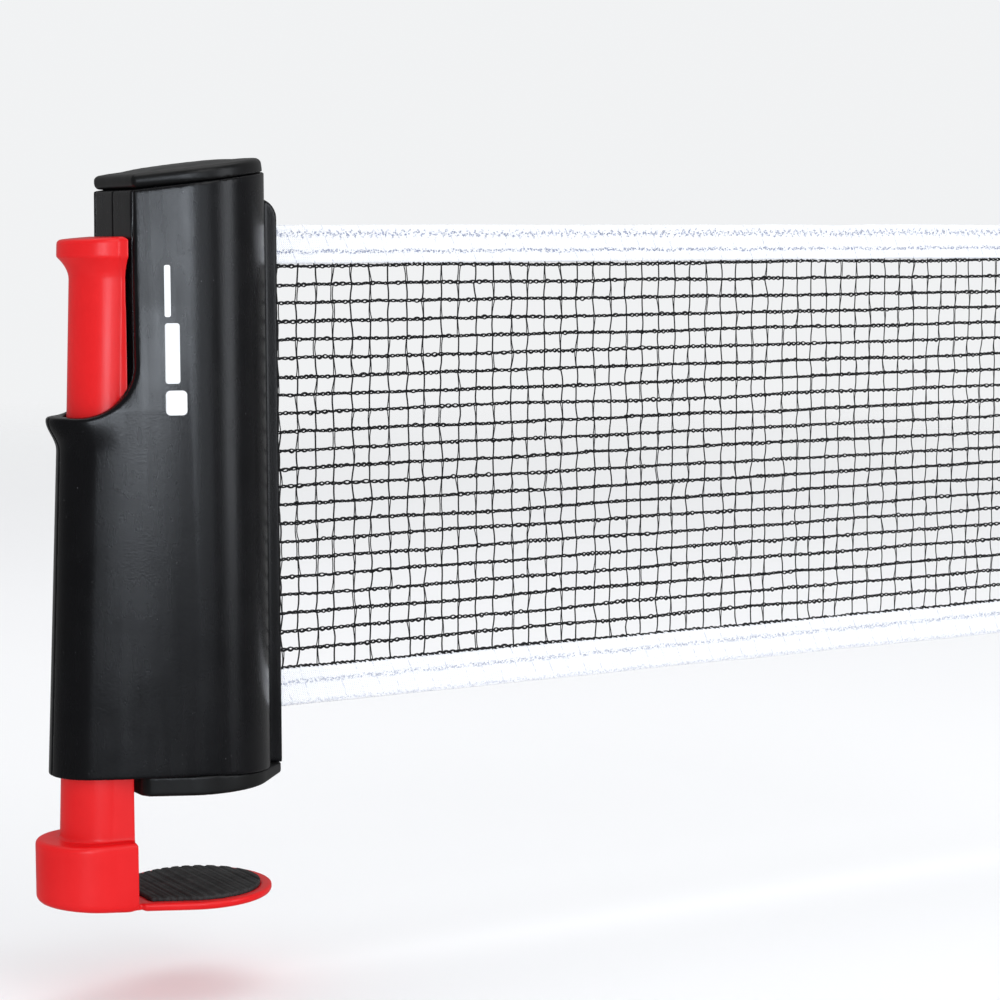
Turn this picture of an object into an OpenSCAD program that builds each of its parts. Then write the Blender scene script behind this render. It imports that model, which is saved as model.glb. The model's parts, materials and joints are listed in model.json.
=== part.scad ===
// Retractable table tennis net post with its squeeze clamp and the first stretch of its net.
//
// Frame: millimetres. The origin is on the roller's axis, in the plane of the table top.
// +X runs along the net, away from the post, and +Z is up. Y = 0 is the plane of the net.
// The clamp is drawn closed on a table edge of about 27 mm, and the net is drawn pulled out.

/* [Housing] */
// Outer radius of the tube that holds the roller
body_r = 21; // [20:0.5:23]
// Direction that the two flat flanks face, in degrees from +X
flank_a = 115; // [112:1:118]
// Wall thickness of the two shells
wall = 2.2; // [1.8:0.1:2.4]
// Height of the shells' lower rim above the table
shell_bottom = 5.7; // [5.2:0.1:6.5]
// Height of the shells' top edge at the roller's axis
shell_top = 161.4; // [160:0.1:165]
// Slope of the top, which rises towards the net, in degrees
top_slope = 7.3; // [0:0.1:9]
// Thickness of the cap on top
cap_h = 3.9; // [3:0.1:6]

/* [Holster] */
// How far the holster's nose stands out from the spine at its lower rim
nose_out = 19.2; // [18.8:0.1:21]
// Radius of the holster's nose
nose_r = 12.2; // [12:0.1:13]
// Lean of the nose towards the spine, in degrees
nose_lean = 2.55; // [2.4:0.05:2.6]
// Thickness of the holster's wall
holster_wall = 1.6; // [1.2:0.1:1.7]
// Height of the holster's mouth at its nose
rim_z = 100.2; // [95:0.1:107]
// Radius of the sweep that runs from the mouth up to the spine
sweep_r = 14; // [10:0.5:16]
// How far the finger lip at the mouth stands out
rim_flare = 3.3; // [1:0.1:4]

/* [Clamp slider] */
// Half width of the red column at its open back
column_half = 11.1; // [10:0.1:11.3]
// Radius of the column's nose
column_r = 10; // [9:0.1:10.2]
// How far the column stands out from the spine at the height of the table top
column_out = 16.15; // [15:0.05:16.3]
// Lean of the column's nose towards the spine, in degrees
column_lean = 2.08; // [1.9:0.01:2.1]
// Height of the column's top at its nose
slider_top = 145.9; // [141:0.1:148]
// How far the finger lip on the column stands out
lip_flare = 3.1; // [1:0.1:4]
// Height of the block under the column
block_h = 18.9; // [14:0.1:22]
// Distance from the table top down to the jaw's upper face
jaw_drop = 28.2; // [25:0.1:33]
// Thickness of the jaw plate
jaw_t = 2.2; // [1.8:0.1:4]

/* [Net] */
// Height of the net's top edge above the table
net_top = 150; // [145:0.5:150.5]
// Height of the net's bottom edge above the table
net_bottom = 18; // [17.5:0.5:23]
// Height of the white tape on each edge
tape_h = 10.8; // [8:0.1:15]
// Distance from the roller's axis to the far end of the net
net_far = 300; // [290:1:340]
// Radius of the net that is still wound on the roller
roll_r = 13.6; // [10:0.1:13.6]

/* [Fasteners] */
// Radius of the shanks of the housing screws
screw_r = 1.25; // [1:0.05:1.5]
// Radius of the heads of the housing screws
head_r = 2.6; // [2.2:0.1:2.8]
// Radius of the roller's steel spindle
spindle_r = 2; // [1.5:0.1:2.2]

/* [Hidden] */

facets = 48;
thin = 0.02;
weld = 0.02;
big = 400;

// Housing
spine_x = -body_r;
mouth_x = 25.8;
lip_half = 3;
lip_top = 157;
lip_corner = 4.5;
slot_half = 1;
slot_low = net_bottom - 2;
slot_high = net_top + 2;
fit = 0.15;
plug_h = 3;
cap_gap = 0.2;
groove_in = 12.2;
groove_out = 12.9;
groove_depth = 1.3;
base_bottom = 0.4;
foot_h = 1.5;
foot_inset = 2.3;

// Holster: its finger lip starts this far below its mouth
flare_h = 9.2;
channel_half = 11.8;

// Slider
lip_band = 4;
lip_curve = 5.4;
lip_slope = 4;
back_x = spine_x - 0.8;
column_wall = 2;
block_top = -jaw_drop - jaw_t + block_h;
block_r = 13.5;
block_out = 23.2;
hollow_floor = -7;
pad_t = 1.4;
pad_sink = 0.4;
pad_inset = 3;

// Clamp spring
spring_x = -25;
spring_r = 2.8;
anchor_z = 106;
slider_pin_z = -3;
pin_r = 1.2;
cheek_in = 3.4;
cheek_out = 5;

// Housing screws
boss_x = 14;
boss_r = 3;
boss_low_z = 12;
boss_high_z = 153.5;
seat_y = 12.2;
screw_tip_y = -9;
base_screw_y = 16.2;
base_seat_z = 3.5;
base_boss_r = 3.2;
base_boss_top = 17;

// Roller
tube_r = 7;
tube_bore_r = 5.6;
running = 0.06;
hub_r = 4.5;
base_hub_top = 12;
cap_hub_bottom = 155;
spindle_low = 2.5;
bush_h = 4;
plug_depth = 6;
tube_low = 14;
tube_high = 153.3;
roller_gap = 0.3;
tape_swell = 0.3;
spring_out_r = 4.4;
collar_low = 137;
collar_high = 143;

// Net
mesh_t = 0.8;
tape_t = 1.2;
lead_t = 0.6;
net_start = 18.4;

// End bar
bar_w = 9;
bar_low = 11;
bar_high = 157;
bar_half = 3.6;
bar_gap = 0.7;
rivet_r = 1.4;
rivet_count = 5;

function nose_x(z) = spine_x - nose_out + (z - shell_bottom) * tan(nose_lean);
function column_x(z) = spine_x - column_out + z * tan(column_lean);

// ---------- shared shapes ----------

// Outline of the tube: a circle whose flat flanks run out to a flat spine. The flats stand
// a weld's width proud of the circle, so that the two shapes cross and don't just touch.
module tear_outline(inset) {
  r = body_r - inset;
  flat_r = r + weld;
  spine_half = (flat_r + flat_r * cos(flank_a)) / sin(flank_a);
  circle(r = r, $fn = 120);
  polygon([for (side = [-1, 1], i = [0 : 2])
    let (k = side < 0 ? i : 2 - i)
    k == 0 ? [-flat_r, side * spine_half]
    : k == 1 ? [flat_r * cos(flank_a), side * flat_r * sin(flank_a)]
    : [(r - 0.5) * cos(flank_a - 12), side * (r - 0.5) * sin(flank_a - 12)]]);
}

module tear_prism(inset, z1, z2) {
  translate([0, 0, z1]) linear_extrude(z2 - z1) tear_outline(inset);
}

// Puts its children on the sloping plane at the top of the shells
module on_slope() {
  translate([0, 0, shell_top]) rotate([0, -top_slope, 0]) children();
}

module nose_disc(z, tip, r) {
  translate([tip + r, 0, z]) cylinder(r = r, h = thin, $fn = facets);
}

module along_y(x, y1, y2, z, r) {
  translate([x, y2, z]) rotate([90, 0, 0]) cylinder(r = r, h = y2 - y1, $fn = 48);
}

module ring(r_out, r_in, z1, z2) {
  translate([0, 0, z1]) difference() {
    cylinder(r = r_out, h = z2 - z1, $fn = 96);
    translate([0, 0, -1]) cylinder(r = r_in, h = z2 - z1 + 2, $fn = 96);
  }
}

// ---------- housing ----------

// A stretch of the holster from height z1 to z2, with its lip standing out by f1 to f2
module fairing(z1, z2, f1, f2) {
  hull() {
    nose_disc(z1, nose_x(z1) - f1, nose_r + f1 / 2);
    nose_disc(z2 - thin, nose_x(z2) - f2, nose_r + f2 / 2);
    translate([0, 0, z1]) cylinder(r = body_r - 0.1, h = z2 - z1, $fn = facets);
  }
}

// The space that the slider's column runs in
module channel() {
  low = shell_bottom - 1;
  high = rim_z + sweep_r + 3;
  hull() {
    for (z = [low, high])
      nose_disc(z, nose_x(z) + holster_wall, nose_r - holster_wall);
    translate([spine_x, -channel_half, low]) cube([1, 2 * channel_half, high - low]);
  }
}

// What is cut away above the holster's mouth: a level cut that sweeps up to the spine
module sweep_cut() {
  centre_x = spine_x - sweep_r;
  centre_z = rim_z + sweep_r;
  along_y(centre_x, -30, 30, centre_z, sweep_r);
  translate([spine_x - 60, -30, centre_z]) cube([60, 60, 30]);
  translate([centre_x - 60, -30, rim_z]) cube([60, 60, 30]);
}

module holster() {
  flare_z = rim_z - flare_h;
  difference() {
    union() {
      fairing(shell_bottom, rim_z + sweep_r + 1, 0, 0);
      fairing(flare_z, flare_z + 4, 0, 0.25 * rim_flare);
      fairing(flare_z + 4, rim_z - 2, 0.25 * rim_flare, 0.9 * rim_flare);
      fairing(rim_z - 2, rim_z, 0.9 * rim_flare, rim_flare);
    }
    channel();
    sweep_cut();
  }
}

// The two lips that the net comes out between, seen from the side
module mouth_lips() {
  height = lip_top - shell_bottom;
  translate([0, lip_half, shell_bottom]) rotate([90, 0, 0]) linear_extrude(2 * lip_half) {
    translate([body_r - 3, 0]) square([mouth_x - body_r + 3 - lip_corner, height]);
    translate([body_r - 3, 0]) square([mouth_x - body_r + 3, height - lip_corner]);
    translate([mouth_x - lip_corner, height - lip_corner]) circle(r = lip_corner, $fn = 48);
  }
}

module net_slot() {
  translate([body_r - 6, -slot_half, slot_low])
    cube([20, 2 * slot_half, slot_high - slot_low]);
}

module screw_bosses() {
  intersection() {
    cylinder(r = body_r - 0.5, h = big, $fn = 96);
    union() {
      for (x = [-boss_x, boss_x], z = [boss_low_z, boss_high_z])
        along_y(x, -body_r, body_r, z, boss_r);
      for (y = [-base_screw_y, base_screw_y])
        translate([0, y, shell_bottom + plug_h + 0.1])
          cylinder(r = base_boss_r, h = base_boss_top - shell_bottom - plug_h, $fn = 48);
    }
  }
}

module screw_holes() {
  for (x = [-boss_x, boss_x], z = [boss_low_z, boss_high_z]) {
    along_y(x, screw_tip_y, 1, z, screw_r);
    along_y(x, 0, seat_y + 1, z, screw_r + 0.25);
    along_y(x, seat_y, 30, z, head_r + 0.2);
  }
  for (y = [-base_screw_y, base_screw_y])
    translate([0, y, 0]) cylinder(r = screw_r, h = base_boss_top - 1, $fn = 48);
}

// Two grooves that run down the spine, between its plate and the edges of the flanks
module spine_grooves() {
  for (y = [-groove_out, groove_in])
    translate([spine_x - 1, y, 0]) cube([1 + groove_depth, groove_out - groove_in, big]);
}

// Two cheeks on the spine that hold the fixed pin of the clamp spring
module anchor_cheeks() {
  for (side = [-1, 1])
    translate([spring_x - 2.2, side * (cheek_in + cheek_out) / 2 - (cheek_out - cheek_in) / 2,
               anchor_z - 4])
      cube([spine_x - spring_x + 3.2, cheek_out - cheek_in, 8]);
}

module housing() {
  difference() {
    union() {
      difference() {
        union() {
          holster();
          tear_prism(0, shell_bottom, shell_top + 10);
          mouth_lips();
        }
        tear_prism(wall, shell_bottom - 1, shell_top + 11);
      }
      anchor_cheeks();
      screw_bosses();
    }
    spine_grooves();
    net_slot();
    screw_holes();
    along_y(spring_x, -cheek_out - 1, cheek_out + 1, anchor_z, pin_r);
    on_slope() translate([-50, -50, 0]) cube([100, 100, 30]);
  }
}

module shell_front() {
  color([0.07, 0.07, 0.08]) intersection() {
    housing();
    translate([-60, -60, 0]) cube([120, 60, 200]);
  }
}

module shell_rear() {
  color([0.07, 0.07, 0.08]) intersection() {
    housing();
    translate([-60, 0, 0]) cube([120, 60, 200]);
  }
}

module top_cap() {
  step = 0.8;
  dish = 3.2;
  color([0.05, 0.05, 0.06]) difference() {
    union() {
      on_slope() {
        translate([0, 0, cap_gap]) linear_extrude(cap_h - cap_gap - step) tear_outline(0.2);
        translate([0, 0, cap_gap]) linear_extrude(cap_h - cap_gap) tear_outline(0.2 + step);
        translate([0, 0, -plug_h]) linear_extrude(plug_h + 1) difference() {
          tear_outline(wall + fit);
          tear_outline(wall + fit + 1.6);
        }
      }
      translate([0, 0, cap_hub_bottom])
        cylinder(r = hub_r + 1, h = shell_top + 1 - cap_hub_bottom, $fn = 96);
    }
    on_slope() translate([0, 0, cap_h - 0.7]) linear_extrude(2) tear_outline(dish);
    translate([0, 0, cap_hub_bottom - 1]) cylinder(r = hub_r - 1, h = bush_h + 1, $fn = 96);
  }
}

// Outline of the base: the tube's, drawn out to a straight-sided tongue under the mouth
module base_outline(inset) {
  r = body_r - inset;
  tip_x = mouth_x - inset;
  tip_y = lip_half - inset;
  touch = acos(r / norm([tip_x, tip_y])) + atan2(tip_y, tip_x);
  touch_x = r * cos(touch);
  touch_y = r * sin(touch);
  tear_outline(inset);
  polygon([[0, 0], [touch_x, -touch_y], [tip_x, -tip_y], [tip_x, tip_y], [touch_x, touch_y]]);
}

module base_cap() {
  inset = 0.3;
  edge = 0.6;
  color([0.1, 0.09, 0.09]) difference() {
    union() {
      translate([0, 0, base_bottom + edge])
        linear_extrude(shell_bottom - base_bottom - edge) base_outline(inset);
      translate([0, 0, base_bottom])
        linear_extrude(shell_bottom - base_bottom) base_outline(inset + edge);
      tear_prism(wall + fit, shell_bottom, shell_bottom + plug_h);
      translate([0, 0, shell_bottom])
        cylinder(r = hub_r, h = base_hub_top - shell_bottom, $fn = 96);
    }
    tear_prism(foot_inset - 0.1, 0, foot_h);
    translate([0, 0, spindle_low]) cylinder(r = spindle_r, h = 20, $fn = 96);
    for (y = [-base_screw_y, base_screw_y]) {
      translate([0, y, 0]) cylinder(r = screw_r + 0.25, h = 20, $fn = 48);
      translate([0, y, 0]) cylinder(r = head_r + 0.2, h = base_seat_z, $fn = 48);
    }
  }
}

module foot_pad() {
  color([0.06, 0.06, 0.06]) tear_prism(foot_inset, 0, foot_h);
}

// ---------- fasteners ----------

module shell_screws() {
  head_h = 2.2;
  color([0.7, 0.7, 0.72])
    for (x = [-boss_x, boss_x], z = [boss_low_z, boss_high_z]) difference() {
      union() {
        along_y(x, screw_tip_y + 0.5, seat_y + 0.5, z, screw_r);
        along_y(x, seat_y, seat_y + head_h, z, head_r);
      }
      translate([x, seat_y + head_h, z]) {
        cube([3.2, 2, 0.7], center = true);
        cube([0.7, 2, 3.2], center = true);
      }
    }
}

module base_screws() {
  head_h = 1.7;
  color([0.7, 0.7, 0.72])
    for (y = [-base_screw_y, base_screw_y]) translate([0, y, base_seat_z]) difference() {
      union() {
        cylinder(r = screw_r, h = 12, $fn = 48);
        translate([0, 0, -head_h]) cylinder(r = head_r, h = head_h, $fn = 48);
      }
      translate([0, 0, -head_h]) {
        cube([3.2, 0.7, 2], center = true);
        cube([0.7, 3.2, 2], center = true);
      }
    }
}

module top_bush() {
  color([0.85, 0.83, 0.76]) ring(hub_r - 1, spindle_r, cap_hub_bottom, cap_hub_bottom + bush_h);
}

module roller_spindle() {
  color([0.75, 0.75, 0.77]) translate([0, 0, spindle_low])
    cylinder(r = spindle_r, h = cap_hub_bottom + bush_h - spindle_low, $fn = 96);
}

// Grips the spindle and holds the fixed end of the roller spring
module spring_collar() {
  color([0.85, 0.83, 0.76]) ring(spring_out_r, spindle_r, collar_low, collar_high);
}

module spring_anchor_pin() {
  color([0.75, 0.75, 0.77]) along_y(spring_x, -cheek_out - 0.6, cheek_out + 0.6, anchor_z, pin_r);
}

// Envelope of the tension spring that pulls the slider up
module clamp_spring() {
  hook = 2.6;
  low = slider_pin_z + hook;
  color([0.75, 0.75, 0.77]) translate([spring_x, 0, low])
    cylinder(r = spring_r, h = anchor_z - hook - low, $fn = 96);
}

// ---------- clamp slider ----------

// A stretch of the red column, with its lip standing out by f1 to f2
module column(z1, z2, f1, f2) {
  hull() {
    nose_disc(z1, column_x(z1) - f1, column_r + f1 / 2);
    nose_disc(z2 - thin, column_x(z2) - f2, column_r + f2 / 2);
    for (end = [[z1, f1], [z2 - thin, f2]])
      translate([back_x - thin, -column_half - end[1] / 2, end[0]])
        cube([thin, 2 * column_half + end[1], thin]);
  }
}

// The hollow of the column, open towards the spine
module column_hollow() {
  high = slider_top - lip_band;
  hull() {
    for (z = [hollow_floor, high])
      nose_disc(z, column_x(z) + column_wall, column_r - column_wall);
    translate([back_x - thin, -column_half + column_wall, hollow_floor])
      cube([1, 2 * (column_half - column_wall), high - hollow_floor]);
  }
}

module block_outline(inset) {
  r = block_r - inset;
  centre = spine_x - block_out + block_r;
  translate([centre, 0]) circle(r = r, $fn = 96);
  translate([centre, -r]) square([back_x - centre, 2 * r]);
}

module clamp_slider() {
  edge = 1;
  lip_low = slider_top - lip_band;
  flare_low = lip_low - lip_curve;
  jaw_low = -jaw_drop - jaw_t;
  color([0.85, 0.06, 0.07]) difference() {
    union() {
      column(block_top - 1, lip_low, 0, 0);
      column(flare_low, flare_low + 3, 0, 0.3 * lip_flare);
      column(flare_low + 3, lip_low, 0.3 * lip_flare, lip_flare);
      column(lip_low, slider_top + 3, lip_flare, lip_flare);
      translate([0, 0, jaw_low + edge]) linear_extrude(block_h - 2 * edge) block_outline(0);
      translate([0, 0, jaw_low]) linear_extrude(block_h) block_outline(edge);
      tear_prism(0, jaw_low + 0.6, -jaw_drop);
      tear_prism(0.6, jaw_low, -jaw_drop);
      translate([back_x - 2, -12.8, jaw_low]) cube([4, 25.6, jaw_t]);
    }
    translate([back_x, -30, -jaw_drop]) cube([60, 60, slider_top + jaw_drop + 10]);
    column_hollow();
    along_y(spring_x, -column_half + 1.2, column_half - 1.2, slider_pin_z, pin_r);
    tear_prism(pad_inset, -jaw_drop - pad_sink, -jaw_drop + 1);
    translate([spine_x - 16, -30, slider_top]) rotate([0, -lip_slope, 0]) cube([60, 60, 20]);
  }
}

module jaw_pad() {
  color([0.06, 0.06, 0.06])
    tear_prism(pad_inset, -jaw_drop - pad_sink, -jaw_drop - pad_sink + pad_t);
}

module slider_spring_pin() {
  color([0.75, 0.75, 0.77])
    along_y(spring_x, -column_half + 1.2, column_half - 1.2, slider_pin_z, pin_r);
}

// ---------- roller ----------

module roller_tube() {
  color([0.5, 0.5, 0.52]) ring(tube_r, tube_bore_r, tube_low, tube_high);
}

module roller_plug(z_in, z_face, z_out) {
  color([0.85, 0.83, 0.76]) difference() {
    union() {
      translate([0, 0, min(z_in, z_face)])
        cylinder(r = tube_bore_r, h = abs(z_face - z_in), $fn = 96);
      translate([0, 0, min(z_face, z_out)])
        cylinder(r = tube_r, h = abs(z_out - z_face), $fn = 96);
    }
    translate([0, 0, min(z_in, z_out) - 1])
      cylinder(r = spindle_r + running, h = abs(z_out - z_in) + 2, $fn = 96);
  }
}

module roller_bottom_plug() {
  roller_plug(tube_low + plug_depth, tube_low, base_hub_top + roller_gap);
}

module roller_top_plug() {
  roller_plug(tube_high - plug_depth, tube_high, cap_hub_bottom - roller_gap);
}

// Envelope of the long torsion spring that winds the net in
module roller_spring() {
  color([0.75, 0.75, 0.77]) ring(spring_out_r, 3.2, tube_low + plug_depth + roller_gap, collar_low);
}

module wound(z1, z2, swell) {
  ring(roll_r + swell, tube_r, z1, z2);
}

module net_roll() {
  color([0.1, 0.1, 0.1]) wound(net_bottom + tape_h, net_top - tape_h, -tape_swell);
}

module roll_top_tape() {
  color([0.93, 0.94, 0.96]) wound(net_top - tape_h, net_top, 0);
}

module roll_bottom_tape() {
  color([0.93, 0.94, 0.96]) wound(net_bottom, net_bottom + tape_h, 0);
}

// ---------- net ----------

// The stretch inside the housing, from the side of the roll to the mouth
module net_lead() {
  lift = 0.6;
  lead_r = roll_r + lift;
  touch_a = acos(lead_r / net_start);
  length = sqrt(net_start * net_start - lead_r * lead_r);
  color([0.93, 0.94, 0.96]) rotate([0, 0, touch_a])
    translate([lead_r, -length + 0.5, net_bottom])
      translate([-lead_t / 2, 0, 0]) cube([lead_t, length - 1, net_top - net_bottom]);
}

module net_strip(z1, z2, t) {
  translate([net_start, -t / 2, z1]) cube([net_far - net_start, t, z2 - z1]);
}

module net_mesh() {
  color([0.1, 0.1, 0.1]) net_strip(net_bottom + tape_h, net_top - tape_h, mesh_t);
}

module net_top_tape() {
  color([0.93, 0.94, 0.96]) net_strip(net_top - tape_h, net_top, tape_t);
}

module net_bottom_tape() {
  color([0.93, 0.94, 0.96]) net_strip(net_bottom, net_bottom + tape_h, tape_t);
}

// ---------- end bar ----------

module end_bar(side) {
  x1 = net_far - 3;
  y = (bar_half + bar_gap) / 2;
  color([0.08, 0.08, 0.09]) difference() {
    translate([x1, side * y - (bar_half - bar_gap) / 2, bar_low])
      cube([bar_w, bar_half - bar_gap, bar_high - bar_low]);
    end_bar_rivet_row(rivet_r, bar_half + 1);
  }
}

module end_bar_rivet_row(r, half) {
  pitch = (bar_high - bar_low - 16) / (rivet_count - 1);
  for (i = [0 : rivet_count - 1])
    along_y(net_far + 3, -half, half, bar_low + 8 + i * pitch, r);
}

module end_bar_front() { end_bar(-1); }

module end_bar_rear() { end_bar(1); }

module end_bar_rivets() {
  color([0.75, 0.75, 0.77]) {
    end_bar_rivet_row(rivet_r, bar_half);
    for (side = [-1, 1]) translate([0, side * (bar_half + 0.35), 0])
      end_bar_rivet_row(rivet_r + 0.8, 0.35);
  }
}

shell_front();
shell_rear();
top_cap();
base_cap();
foot_pad();
shell_screws();
base_screws();
top_bush();
roller_spindle();
spring_collar();
spring_anchor_pin();
clamp_spring();
clamp_slider();
jaw_pad();
slider_spring_pin();
roller_tube();
roller_top_plug();
roller_bottom_plug();
roller_spring();
net_roll();
roll_top_tape();
roll_bottom_tape();
net_lead();
net_mesh();
net_top_tape();
net_bottom_tape();
end_bar_front();
end_bar_rear();
end_bar_rivets();
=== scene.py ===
import json
import math

import bmesh
import bpy
import numpy as np
import openvdb
from mathutils import Matrix, Vector


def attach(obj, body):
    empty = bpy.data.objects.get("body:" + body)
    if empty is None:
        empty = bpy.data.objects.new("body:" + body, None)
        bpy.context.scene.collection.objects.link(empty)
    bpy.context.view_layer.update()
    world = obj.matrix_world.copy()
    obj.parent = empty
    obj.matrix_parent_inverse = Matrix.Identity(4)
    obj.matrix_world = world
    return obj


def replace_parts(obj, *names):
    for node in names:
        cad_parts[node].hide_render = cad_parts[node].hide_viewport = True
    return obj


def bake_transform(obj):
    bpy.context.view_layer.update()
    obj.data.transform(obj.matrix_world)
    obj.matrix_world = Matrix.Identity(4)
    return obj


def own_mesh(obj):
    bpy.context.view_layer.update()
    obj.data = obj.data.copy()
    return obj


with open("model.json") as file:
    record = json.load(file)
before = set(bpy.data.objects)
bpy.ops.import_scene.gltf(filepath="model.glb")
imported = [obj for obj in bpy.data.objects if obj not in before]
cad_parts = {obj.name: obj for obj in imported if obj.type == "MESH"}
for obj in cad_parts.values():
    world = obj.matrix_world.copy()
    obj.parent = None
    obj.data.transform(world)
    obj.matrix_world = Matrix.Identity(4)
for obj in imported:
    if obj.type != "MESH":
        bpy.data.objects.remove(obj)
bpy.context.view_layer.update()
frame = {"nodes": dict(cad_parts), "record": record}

MM = 0.001

# ---------------------------------------------------------------- sizes, in millimetres
# They repeat part.scad, and add the small shapes that it leaves out. The moulded parts are made
# again here from fields of distance, so that their edges are rounded and their blends are smooth.
BODY_R, FLANK_A, WALL = 21.0, math.radians(115), 2.2
SHELL_BOTTOM, SHELL_TOP, TOP_SLOPE, CAP_H, CAP_GAP = 5.7, 161.4, math.radians(7.3), 3.9, 0.2
CAP_CROWN, CROWN_RUN, BOTTOM_DROP, DROP_START = 1.1, 13, 2.6, -3
GROOVE_IN, GROOVE_OUT, GROOVE_DEPTH, SPINE_IN = 12.2, 12.9, 1.3, 0.5
NOSE_OUT, NOSE_R, NOSE_LEAN, HOLSTER_WALL, SIDE_R = 19.2, 12.2, math.radians(2.55), 1.6, 100.0
RIM_Z, SWEEP_R, RIM_FLARE, FLARE_H, CHANNEL_HALF = 100.2, 14.0, 3.3, 9.2, 11.8
COLUMN_HALF, COLUMN_R, COLUMN_OUT, COLUMN_LEAN = 11.1, 10.0, 16.15, math.radians(2.08)
SLIDER_TOP, LIP_SLOPE, LIP_FLARE, LIP_BAND, LIP_CURVE = 145.9, math.radians(4), 3.4, 4.2, 6.0
JAW_TOP, JAW_BOTTOM, BLOCK_TOP, BLOCK_R, SLIDER_BACK = -28.2, -30.4, -11.5, 13.5, -21.5
BLOCK_TIP, SLIDE_DOWN = -44.2, 25.0
MOUTH_X, LIP_HALF, LIP_TOP, LIP_CORNER, SLOT_HALF = 25.8, 3.0, 157.0, 4.5, 1.0
NET_TOP, NET_BOTTOM, TAPE_H, NET_START, NET_FAR, NET_PULL = 150.0, 18.0, 10.8, 18.4, 300.0, 268
BAR_X, BAR_W, BAR_LOW, BAR_HIGH, BAR_HALF, BAR_GAP = 297.0, 9.0, 11.0, 157.0, 3.6, 0.7
RIVET_X, RIVET_R, RIVET_IN, RIVETS = 303, 1.4, 8, 5
BASE_BOTTOM, FOOT_H, FOOT_INSET, PAD_INSET = 0.4, 1.5, 2.3, 3.0
SPRING_X, ANCHOR_Z, SLIDER_PIN_Z = -25.0, 106.0, -3.0
CHEEK_Y, RIB_PITCH = 4.2, 3.0
BOSS_X, BOSS_LOW_Z, BOSS_HIGH_Z, BOSS_R, SEAT_R = 14.0, 12.0, 153.5, 3.0, 2.8
HUB_BOTTOM, BASE_HUB_TOP, SPINDLE_LOW, BASE_SCREW_Y = 155.0, 12.0, 2.5, 16.2
CELL = 0.42


# ---------------------------------------------------------------- distance fields
def both(a, b, r=0.0):
    """Where a and b overlap, with the edge between them rounded to radius r."""
    outside = np.hypot(np.maximum(a + r, 0), np.maximum(b + r, 0))
    return np.minimum(np.maximum(a, b), -r) + outside


def either(a, b, r=0.0):
    """a and b joined, with the corner between them filled to radius r."""
    return -both(-a, -b, r)


def less(a, b, r=0.0):
    """a with b cut away, with the edge rounded to radius r."""
    return both(a, -b, r)


def tear(x, y, inset=0.0, corner=0.6):
    """Outline of the tube: a circle whose flat flanks run out to a flat spine."""
    r = BODY_R - inset
    ca, sa = math.cos(FLANK_A), math.sin(FLANK_A)
    side = np.abs(y)
    flats = both(x * ca + side * sa - r, SPINE_IN - x - r + 0 * side, corner)
    behind = x * sa - side * ca < 0
    return np.where(behind, flats, np.hypot(x, y) - r)


def nose_post(x, y, tip, r, back_x, back_half):
    """Outline with a round nose at tip and sides that run straight to back_half at back_x."""
    centre = tip + r
    slope = (back_half - r) / (back_x - centre)
    side = np.abs(y)
    flats = (side - r - (x - centre) * slope) / np.sqrt(1 + slope**2)
    return np.where(x < centre, np.hypot(x - centre, side) - r, flats)


def faired(x, y, tip, flare):
    """Outline of the holster: its nose, drawn out by flare, and a slightly bulging side that meets
    both the nose and the tube."""
    big, r, side = BODY_R - 0.15, NOSE_R, SIDE_R
    reach = -(tip + r)
    x = np.where(x < -reach, -reach + (x + reach) * r / (r + flare), x)
    a = ((side - big) ** 2 - (side - r) ** 2 + reach**2) / (2 * reach)
    b = np.sqrt((side - big) ** 2 - a * a)
    u, v = -x, np.abs(y)
    past_tube = (u - a) * b + (v + b) * a
    past_nose = (reach - a) * (v + b) - b * (u - a)
    ends = np.where(past_tube < 0, np.hypot(u, v) - big, np.hypot(u - reach, v) - r)
    return np.where((past_tube >= 0) & (past_nose >= 0), np.hypot(u - a, v + b) - side, ends)


def nose_x(z):
    return -BODY_R - NOSE_OUT + (z - SHELL_BOTTOM) * math.tan(NOSE_LEAN)


def bottom_z(x):
    """The housing's lower edge, which runs down a little towards the mouth."""
    return SHELL_BOTTOM - BOTTOM_DROP * np.clip((x - DROP_START) / (MOUTH_X - DROP_START), 0, 1)


def column_x(z):
    return -BODY_R - COLUMN_OUT + z * math.tan(COLUMN_LEAN)


def ease(t):
    t = np.clip(t, 0, 1)
    return t * t * (3 - 2 * t)


def slope_frame(x, z):
    """Distances along and above the sloping plane at the top of the shells."""
    s, c = math.sin(TOP_SLOPE), math.cos(TOP_SLOPE)
    return x * c + (z - SHELL_TOP) * s, (z - SHELL_TOP) * c - x * s


def box2(a, b, a1, a2, b1, b2, r=0.0):
    """A rectangle in the plane of a and b, with corners of radius r."""
    qa = np.abs(a - (a1 + a2) / 2) - (a2 - a1) / 2 + r
    qb = np.abs(b - (b1 + b2) / 2) - (b2 - b1) / 2 + r
    return np.hypot(np.maximum(qa, 0), np.maximum(qb, 0)) + np.minimum(np.maximum(qa, qb), 0) - r


# ---------------------------------------------------------------- meshes
def steps(*spans):
    """Levels along one axis from (start, end, step) spans that follow each other."""
    out = []
    for start, end, step in spans:
        count = max(1, round((end - start) / step))
        out += [start + (end - start) * i / count for i in range(count)]
    return np.array(out + [spans[-1][1]], np.float32)


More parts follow.
